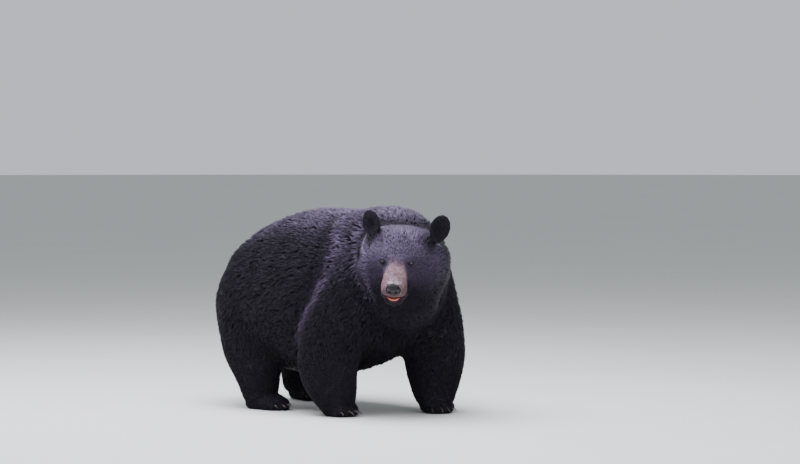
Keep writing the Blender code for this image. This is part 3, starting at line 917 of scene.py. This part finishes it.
# The clump, pull, ragged and curl of a Coat, and on the legs its mottle and stout too
TRUNK_LOOK = (0.0095, 0.46, 0.32, 0.34)
LEG_LOOK = (0.0095, 0.40, 0.24, 0.28, 1.0, 1.3)
COATS = [
    Coat("coat_face", face_part, 32500, 0.0050, 0.12, 0.10, 0.10, 0.55),
    Coat("coat_crown", lambda h: of("head", "ear")(h) & ~face_part(h), 24000, 0.0070, 0.22, 0.14, 0.14, 0.65),
    Coat("coat_neck", lambda h: of("neck")(h) | trunk_between(h, -2, FRONT), 24000, *TRUNK_LOOK),
    Coat("coat_right", lambda h: trunk_between(h, FRONT, REAR, -1), 31000, *TRUNK_LOOK),
    Coat("coat_left", lambda h: trunk_between(h, FRONT, REAR, 1), 31000, *TRUNK_LOOK),
    Coat("coat_rump", lambda h: trunk_between(h, REAR, 2) | of("tail")(h), 24000, *TRUNK_LOOK),
] + [
    Coat(f"coat_{leg}_{side_name}", leg_part(leg, paw, SIDES[side_name]), tufts, *LEG_LOOK)
    for leg, paw in (("foreleg", "forepaw"), ("hindleg", "hindpaw"))
    for side_name, tufts in (("right", 25000), ("left", 24000))
]


# ---- eyes, nose, tongue and claws

def make_eye(side_name, side):
    """An eyeball with its clear front swelling a little; its own Z is the way it looks."""
    bpy.ops.mesh.primitive_uv_sphere_add(segments=48, ring_count=32, radius=EYE_RADIUS)
    eye = bpy.context.object
    eye.name = eye.data.name = "eyeball_" + side_name
    points = points_of(eye.data)
    away = np.hypot(points[:, 0], points[:, 1])
    points[:, 2] += np.where(points[:, 2] > 0, CORNEA * rise(1.25 * IRIS, 0.2 * IRIS, away), 0)
    look, outer, upper = eye_axes(side)
    axes = np.array([outer * side, upper, look])
    add_values(eye.data, "from_pupil", away)
    add_values(eye.data, "facing", points[:, 2])
    put(eye.data.vertices, "co", HEAD.world(HEAD.eye(side) + points @ axes))
    eye.data.update()
    eye.data.shade_smooth()
    return eye


def fine_copy(node, name, smoothings):
    """A CAD node as a smooth, fine piece, with its surface and that surface's head places and normals."""
    piece = loose_copy(node)
    piece.name = piece.data.name = name
    applied(piece, "REMESH", mode="VOXEL", voxel_size=FINE_VOXEL)
    surface = Surface(piece.data)
    surface.relax(smoothings)
    places = HEAD.local(surface.points)
    return piece, surface, places, surface.normals() @ HEAD.axes.T


def make_nose():
    """The nose pad, with winged nostrils and the groove that parts the upper lip."""
    pad, surface, places, normals = fine_copy("nose", "nose_pad", 10)
    front = rise(-0.128, -0.140, places[:, 1])
    lift = np.full(len(places), 0.0004)
    groove = hump(places[:, 0], 0, 0.0016) * rise(-0.064, -0.074, places[:, 2])
    lift -= 0.0022 * groove * front
    # painted shade, darkest inside the nostrils
    painted_shade = np.zeros(len(places))
    for side in SIDES.values():
        hole = blob(places, (side * 0.0135, -0.152, -0.0715), (0.0078, 0.020, 0.0075))
        slit = blob(places, (side * 0.0220, -0.144, -0.0745), (0.0095, 0.020, 0.0032))
        wing = blob(places, (side * 0.0165, -0.148, -0.0620), (0.010, 0.016, 0.0060))
        lift += 0.0016 * wing * front - 0.0052 * np.maximum(hole, slit) * front
        painted_shade = np.maximum(painted_shade, rise(0.15, 0.6, np.maximum(hole, slit)) * front)
    surface.points += (normals * lift[:, None]) @ HEAD.axes
    surface.write()
    # painted shade along the top edge of the pad
    painted_shade = np.maximum(painted_shade, rise(-0.062, -0.054, places[:, 2]) * rise(-0.120, -0.134, places[:, 1]))
    add_values(pad.data, "nostril", painted_shade)
    pad.data.shade_smooth()
    return pad


def make_tongue():
    """The tongue behind the lower lip, with its middle furrow and its sides curled up."""
    piece, surface, places, normals = fine_copy("tongue", "tongue_tip", 6)
    furrow = hump(places[:, 0], 0, 0.0022) * rise(0.0, 0.6, normals[:, 2])
    places += normals * (0.0006 - 0.0016 * furrow)[:, None]
    out = np.abs(places[:, 0]) / 0.027
    core = -0.1225 + 0.075 * (places[:, 1] + 0.020)
    places[:, 2] = core + (places[:, 2] - core) * (1 - 0.45 * np.clip(out, 0, 1) ** 2) + 0.0085 * out ** 2
    places[:, 0] *= 1.08
    surface.points = HEAD.world(places)
    surface.write()
    # painted shade: faces turned up and back, under the upper lip, are marked inner
    add_values(piece.data, "inner", rise(-0.4, 0.7, normals[:, 2] + 0.25 * normals[:, 1]))
    piece.data.shade_smooth()
    return piece


def claw_model(length, thick):
    """One claw along -Y with its root at the origin, flat-sided, curving down to its point."""
    bend, dip = CLAW_BEND, CLAW_DIP
    radius = length / bend
    upright = (math.pi / 2, 0, 0)
    bpy.ops.mesh.primitive_circle_add(vertices=CLAW_SIDES, radius=1, fill_type="NGON", rotation=upright)
    claw = bpy.context.object
    bpy.ops.object.transform_apply(rotation=True)
    bpy.ops.object.mode_set(mode="EDIT")
    for _ in range(CLAW_RINGS):
        bpy.ops.mesh.extrude_region_move()
    bpy.ops.object.mode_set(mode="OBJECT")
    order = read(claw.data.vertices, "co", 3)
    for index, vert in enumerate(claw.data.vertices):
        share = (index // CLAW_SIDES) / CLAW_RINGS
        angle = bend * share - dip
        size = thick * (1 - 0.93 * share ** 1.5)
        wide, tall = order[index][0] * 0.72 * size, order[index][2] * size
        vert.co = (
            wide,
            -radius * (math.sin(angle) + math.sin(dip)) - tall * math.sin(angle),
            radius * (math.cos(angle) - math.cos(dip)) + tall * math.cos(angle),
        )
    with opened(claw.data) as bm:
        bmesh.ops.recalc_face_normals(bm, faces=bm.faces)
    applied(claw, "SUBSURF", levels=1, render_levels=1)
    claw.data.shade_smooth()
    return claw


def set_claw(model, node):
    """A copy of the claw where a CAD claw is: its root, and the way its point lies."""
    corners = np.array([v.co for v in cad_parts[node].data.vertices])
    paw = np.array(middle(node.replace("claw_fore", "forepaw").replace("claw_hind", "hindpaw")[:-2]))
    flat = np.linalg.norm((corners - paw)[:, :2], axis=1)
    tip = corners[flat.argmax()]
    root = corners[flat <= flat.min() + 0.004].mean(axis=0)
    ahead = Vector((tip - root)[:2]).to_3d().normalized()
    matrix = Matrix((-ahead.cross(Vector((0, 0, 1))), -ahead, (0, 0, 1))).transposed().to_4x4()
    matrix.translation = root
    if matrix.determinant() < 0:
        raise ValueError("the claw would be mirrored")
    claw = new_piece(node.replace("claw", "horn"), model.data.copy())
    claw.data.transform(matrix)
    share = np.linalg.norm(read(model.data.vertices, "co", 3), axis=1)
    add_values(claw.data, "along", share / share.max())
    return claw


# ---- finishes

class Value:
    """A number that varies over a surface, so that shader maths reads as sums."""

    def __init__(self, finish, socket):
        self.finish = finish
        self.socket = socket

    def __add__(self, other):
        return self.finish.maths("ADD", self, other)

    def __sub__(self, other):
        return self.finish.maths("SUBTRACT", self, other)

    def __rsub__(self, other):
        return self.finish.maths("SUBTRACT", other, self)

    def __mul__(self, other):
        return self.finish.maths("MULTIPLY", self, other)

    def __pow__(self, other):
        return self.finish.maths("POWER", self, other)

    __radd__ = __add__
    __rmul__ = __mul__


class Finish:
    """A material in the making: a principled shader, and the nodes that vary it over the surface."""

    def __init__(self, name, **constants):
        self.material = bpy.data.materials.new(name)
        self.material.use_nodes = True
        self.tree = self.material.node_tree
        self.shader = self.tree.nodes["Principled BSDF"]
        self.set(**constants)

    def node(self, kind, settings=(), **inputs):
        """A node with its settings made first, then its sockets' values or links by identifier."""
        made = self.tree.nodes.new(kind)
        for key, value in dict(settings).items():
            setattr(made, key, value)
        for key, value in inputs.items():
            socket = next(s for s in made.inputs if s.identifier == key)
            self.feed(socket, value)
        return made

    def feed(self, socket, value):
        """Gives a socket its value, a colour as red, green and blue, or links it to the value's source."""
        if isinstance(value, (Value, bpy.types.NodeSocket)):
            self.tree.links.new(getattr(value, "socket", value), socket)
        else:
            socket.default_value = (*value, 1.0) if socket.type == "RGBA" else value

    def maths(self, operation, first, second):
        made = self.node("ShaderNodeMath", {"operation": operation}, Value=first, Value_001=second)
        return Value(self, made.outputs[0])

    def attribute(self, name):
        return Value(self, self.node("ShaderNodeAttribute", {"attribute_name": name}).outputs["Fac"])

    def place(self, scale=(1, 1, 1)):
        """The point's place on the object, stretched by a scale."""
        where = self.node("ShaderNodeTexCoord").outputs["Object"]
        return self.node("ShaderNodeMapping", Vector=where, Scale=scale).outputs[0]

    def noise(self, size, detail=2.0, roughness=0.5, where=None):
        """Soft blotches about that size, from 0 to 1."""
        made = self.node("ShaderNodeTexNoise", Vector=where or self.place(), Scale=1 / size,
                         Detail=detail, Roughness=roughness)
        return Value(self, made.outputs[0])

    def cells(self, size):
        """The distance from the middles of rounded cells about that size."""
        made = self.node("ShaderNodeTexVoronoi", {"feature": "SMOOTH_F1"},
                         Vector=self.place(), Scale=1 / size, Smoothness=0.3)
        return Value(self, made.outputs[0])

    def step(self, low, high, value):
        """0 up to low, 1 from high, smooth between."""
        made = self.node("ShaderNodeMapRange", {"interpolation_type": "SMOOTHSTEP"}, Value=value)
        made.inputs["From Min"].default_value = low
        made.inputs["From Max"].default_value = high
        return Value(self, made.outputs[0])

    def mix(self, share, first, second):
        """The first colour at 0, the second at 1."""
        made = self.node("ShaderNodeMix", {"data_type": "RGBA"},
                         Factor_Float=share, A_Color=first, B_Color=second)
        return made.outputs[2]

    def bump(self, height, depth, under=None):
        inputs = {"Height": height, "Distance": depth, "Strength": 1.0}
        if under is not None:
            inputs["Normal"] = under
        return self.node("ShaderNodeBump", **inputs).outputs[0]

    def set(self, **inputs):
        for key, value in inputs.items():
            self.feed(self.shader.inputs[key.replace("_", " ")], value)
        return self.material


BLACK_ROOT = (0.0060, 0.0054, 0.0066)
BLACK_TIP = (0.0370, 0.0335, 0.0450)
# painted light: the colour the tips are painted where light falls on them
PAINTED_LIGHT_TIP = (0.2700, 0.2150, 0.3500)
BROWN_ROOT = (0.110, 0.066, 0.060)
# the muzzle top's tan, paler and more lilac than its sides as a painted highlight
BROWN_TIP = (0.450, 0.325, 0.400)
RUST_TIP = (0.270, 0.180, 0.175)
# a painted glint above the nose
PAINTED_GLINT_TIP = (0.900, 0.800, 0.960)


def fur(name):
    """Glossy black guard hair with a cool sheen, brown on the muzzle, lightest at the tips, which painted
    light makes paler where light falls and painted shade keeps dark.
    """
    finish = Finish(name, Specular_IOR_Level=0.13, Specular_Tint=(0.80, 0.66, 1.0))
    marks = ("tip", "tone", "brown", "pale", "painted_muzzle_light")
    tip, tone, brown, pale, painted_muzzle_light = (finish.attribute(key) for key in marks)
    lit = tip ** 1.6 * (0.25 + 0.75 * tone)
    patchy = finish.noise(0.14, 3.0)
    # painted light on the tips of the black fur
    black = finish.mix(pale, BLACK_TIP, PAINTED_LIGHT_TIP)
    black = finish.mix(lit * (0.6 + 0.8 * patchy), BLACK_ROOT, black)
    # the muzzle: rusty sides, a top painted lighter as a highlight, and a painted glint above the nose
    tan = finish.mix(finish.step(0.0, 0.5, painted_muzzle_light), RUST_TIP, BROWN_TIP)
    tan = finish.mix(finish.step(0.5, 1.0, painted_muzzle_light), tan, PAINTED_GLINT_TIP)
    specks = finish.step(0.30, 0.65, finish.noise(0.009, 3.0))
    smudges = finish.step(0.32, 0.68, finish.noise(0.024, 3.0))
    tan = finish.mix(lit * (0.20 + 0.75 * specks + 0.75 * smudges), BROWN_ROOT, tan)
    return finish.set(
        Base_Color=finish.mix(brown, black, tan),
        Roughness=0.52 - 0.10 * tone - 0.04 * tip,
    )


def hide_finish():
    """Skin under the fur: marked as the coat is, with some of its painted light, black at lips and lids, dark
    red inside the mouth.
    """
    finish = Finish("hide", Specular_IOR_Level=0.25)
    pale, brown, lip, mouth = (finish.attribute(key) for key in ("pale", "brown", "lip", "mouth"))
    blotches = finish.noise(0.02, 3.0)
    # a quarter of the coat's painted light
    black = finish.mix(pale * 0.25, BLACK_TIP, PAINTED_LIGHT_TIP)
    body = finish.mix(brown, black, BROWN_ROOT)
    body = finish.mix(0.3 + blotches * 0.4, body, BLACK_ROOT)
    body = finish.mix(lip, body, (0.006, 0.005, 0.0055))
    gums = finish.mix(blotches, (0.15, 0.026, 0.034), (0.25, 0.064, 0.072))
    wrinkles = finish.noise(0.0022, 4.0, 0.6)
    return finish.set(
        Base_Color=finish.mix(mouth, body, gums),
        Roughness=0.66 - 0.06 * lip - 0.22 * mouth + 0.1 * blotches,
        Normal=finish.bump(wrinkles, 0.0004),
    )


def eye_finish():
    """A dark brown iris with its fibres and darker rim, a black pupil and a brown-black white."""
    finish = Finish("eye", Coat_Weight=1.0, Coat_Roughness=0.02, Roughness=0.25, Specular_IOR_Level=0.15)
    away = finish.attribute("from_pupil")
    front = finish.step(0.0, 0.002, finish.attribute("facing"))
    fibres = finish.noise(0.0006, 3.0)
    iris = finish.mix(fibres, (0.013, 0.008, 0.008), (0.038, 0.024, 0.022))
    rim = finish.step(IRIS * 0.78, IRIS, away)
    iris = finish.mix(rim, iris, (0.006, 0.004, 0.003))
    iris = finish.mix(finish.step(PUPIL * 1.08, PUPIL * 0.94, away), iris, (0.001, 0.001, 0.001))
    white = finish.mix(finish.noise(0.0015, 2.0), (0.010, 0.007, 0.006), (0.030, 0.021, 0.018))
    in_iris = finish.step(IRIS * 1.04, IRIS * 0.98, away) * front
    return finish.set(Base_Color=finish.mix(in_iris, white, iris), Roughness=0.3 - 0.1 * in_iris)


def nose_finish():
    """Damp black leather, pebbled, with painted shade that makes it darkest inside the nostrils and along the
    pad's top edge.
    """
    finish = Finish("nose_leather", Specular_IOR_Level=0.15)
    pebbles = finish.cells(0.0019)
    soft = finish.noise(0.006, 3.0)
    nostril = finish.attribute("nostril")
    leather = finish.mix(soft, (0.020, 0.018, 0.020), (0.046, 0.042, 0.046))
    return finish.set(
        Base_Color=finish.mix(nostril, leather, (0.002, 0.0015, 0.0015)),
        Roughness=0.46 + 0.2 * soft + 0.2 * nostril,
        Normal=finish.bump(1 - pebbles * 1.2, 0.0005, finish.bump(soft, 0.0006)),
    )


def tongue_finish():
    """Wet pink flesh with a fine nap, deep red on its inner side, which faces up under the upper lip, as
    painted shade.
    """
    finish = Finish("tongue_flesh", Subsurface_Weight=0.15, Subsurface_Scale=0.004, Specular_IOR_Level=0.6)
    blotches = finish.noise(0.008, 3.0)
    nap = finish.noise(0.0012, 2.0)
    pink = finish.mix(blotches, (0.46, 0.18, 0.16), (0.58, 0.29, 0.26))
    return finish.set(
        Base_Color=finish.mix(finish.attribute("inner"), pink, (0.34, 0.060, 0.040)),
        Roughness=0.34 + 0.2 * nap,
        Normal=finish.bump(nap, 0.0003),
    )


def horn_finish():
    """Dark horn, worn paler to the point, with fine streaks along it."""
    finish = Finish("claw_horn", Specular_IOR_Level=0.55)
    along = finish.attribute("along")
    streaks = finish.noise(0.0016, 3.0, where=finish.place((1, 0.3, 1)))
    horn = finish.mix(streaks, (0.014, 0.011, 0.010), (0.050, 0.040, 0.034))
    worn = finish.step(0.55, 1.0, along) * (0.3 + 0.5 * streaks)
    return finish.set(
        Base_Color=finish.mix(worn, horn, (0.15, 0.125, 0.10)),
        Roughness=0.30 + 0.25 * streaks,
        Normal=finish.bump(streaks, 0.0003),
    )


def floor_finish():
    finish = Finish("floor", Specular_IOR_Level=0.2)
    clouds = finish.noise(1.4, 3.0)
    return finish.set(
        Base_Color=finish.mix(clouds, (0.50, 0.51, 0.49), (0.54, 0.55, 0.53)),
        Roughness=0.85 + 0.1 * clouds,
    )


# ---- the stage

VIEW_ASIDE = math.radians(-42)  # the camera looks at the bear's right front
VIEW_ABOVE = math.radians(2)
VIEW_DISTANCE = 15.0
VIEW_LENS = 150.0
AIM = (0.2102, -0.1433, 0.80)


def set_camera():
    data = bpy.data.cameras.new("camera")
    data.lens = VIEW_LENS
    data.clip_end = 200
    camera = new_piece("camera", data)
    back = Vector((
        math.sin(VIEW_ASIDE) * math.cos(VIEW_ABOVE),
        -math.cos(VIEW_ASIDE) * math.cos(VIEW_ABOVE),
        math.sin(VIEW_ABOVE),
    ))
    camera.location = Vector(AIM) + back * VIEW_DISTANCE
    camera.rotation_euler = back.to_track_quat("Z", "Y").to_euler()
    bpy.context.scene.camera = camera


def soft_box(name, place, size, power, tint=(1, 1, 1)):
    """A large square light aimed at the bear."""
    data = bpy.data.lights.new(name, "AREA")
    data.size = size
    data.energy = power
    data.color = tint
    lamp = new_piece(name, data)
    lamp.location = place
    lamp.rotation_euler = (Vector(place) - Vector((0, 0, 0.5))).to_track_quat("Z", "Y").to_euler()


def light_stage():
    world = bpy.data.worlds.new("studio")
    world.use_nodes = True
    background = world.node_tree.nodes["Background"]
    background.inputs["Color"].default_value = (0.80, 0.84, 0.90, 1.0)
    background.inputs["Strength"].default_value = 0.82
    bpy.context.scene.world = world
    soft_box("overhead", (-1.3, 0.0, 5.2), 4.6, 1000, (0.93, 0.91, 1.0))
    soft_box("front", (-2.2, -3.0, 5.2), 3.0, 125, (0.96, 0.95, 1.0))
    soft_box("behind", (-0.5, 4.2, 4.2), 3.0, 130, (0.93, 0.88, 1.0))
    soft_box("low", (-1.2, -5.0, 1.4), 3.0, 90, (0.96, 0.94, 1.0))


def lay_floor():
    bpy.ops.mesh.primitive_circle_add(vertices=96, radius=60, fill_type="NGON")
    floor = bpy.context.object
    floor.name = "floor"
    floor.data.materials.append(floor_finish())


# ---- putting the bear together

def finish_piece(piece, material, slot, *nodes):
    piece.data.materials.clear()
    piece.data.materials.append(material)
    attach(piece, "root")
    if nodes:
        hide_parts(*nodes)


def mark_skin(skin, pale):
    """Marks on the skin its painted light, what is brown, lip or lid, and the inside of the mouth."""
    points = points_of(skin.data)
    places = HEAD.local(points)
    lip = np.zeros(len(points))
    for side in SIDES.values():
        height, away, _, edge = round_the_eye(places, side)
        lip = np.maximum(lip, rise(0.0065, 0.0025, away - edge) * (height > -0.012) * (away < 0.02))
    lip = np.maximum(lip, rise(0.020, 0.013, np.abs(over_lips(places))) * rise(0.02, -0.01, places[:, 1]))
    lip = np.maximum(lip, rise(1.35, 1.15, by_nose(places)))
    marks = {"pale": pale, "brown": brown_share(points), "lip": lip, "mouth": in_mouth(places)}
    for name, values in marks.items():
        add_values(skin.data, name, values)


set_camera()
light_stage()
lay_floor()

skin = make_skin()
hide = Hide(skin)
mark_skin(skin, hide.pale)
finish_piece(skin, hide_finish(), "coat", *FLESH)

for number, coat in enumerate(COATS):
    finish_piece(grow(hide, coat, 100 + number), fur(coat.name + "_fur"), "coat")

eye_material = eye_finish()
for side_name, side in SIDES.items():
    finish_piece(make_eye(side_name, side), eye_material, "eye", "eye_" + side_name)
finish_piece(make_nose(), nose_finish(), "nose", "nose")
finish_piece(make_tongue(), tongue_finish(), "tongue", "tongue")

horn = horn_finish()
for kind, length, thick in (("fore", 0.044, 0.0056), ("hind", 0.031, 0.0047)):
    model = claw_model(length, thick)
    for side_name in SIDES:
        for toe in TOES:
            node = f"claw_{kind}_{side_name}_{toe}"
            finish_piece(set_claw(model, node), horn, "claw", node)
    bpy.data.objects.remove(model)
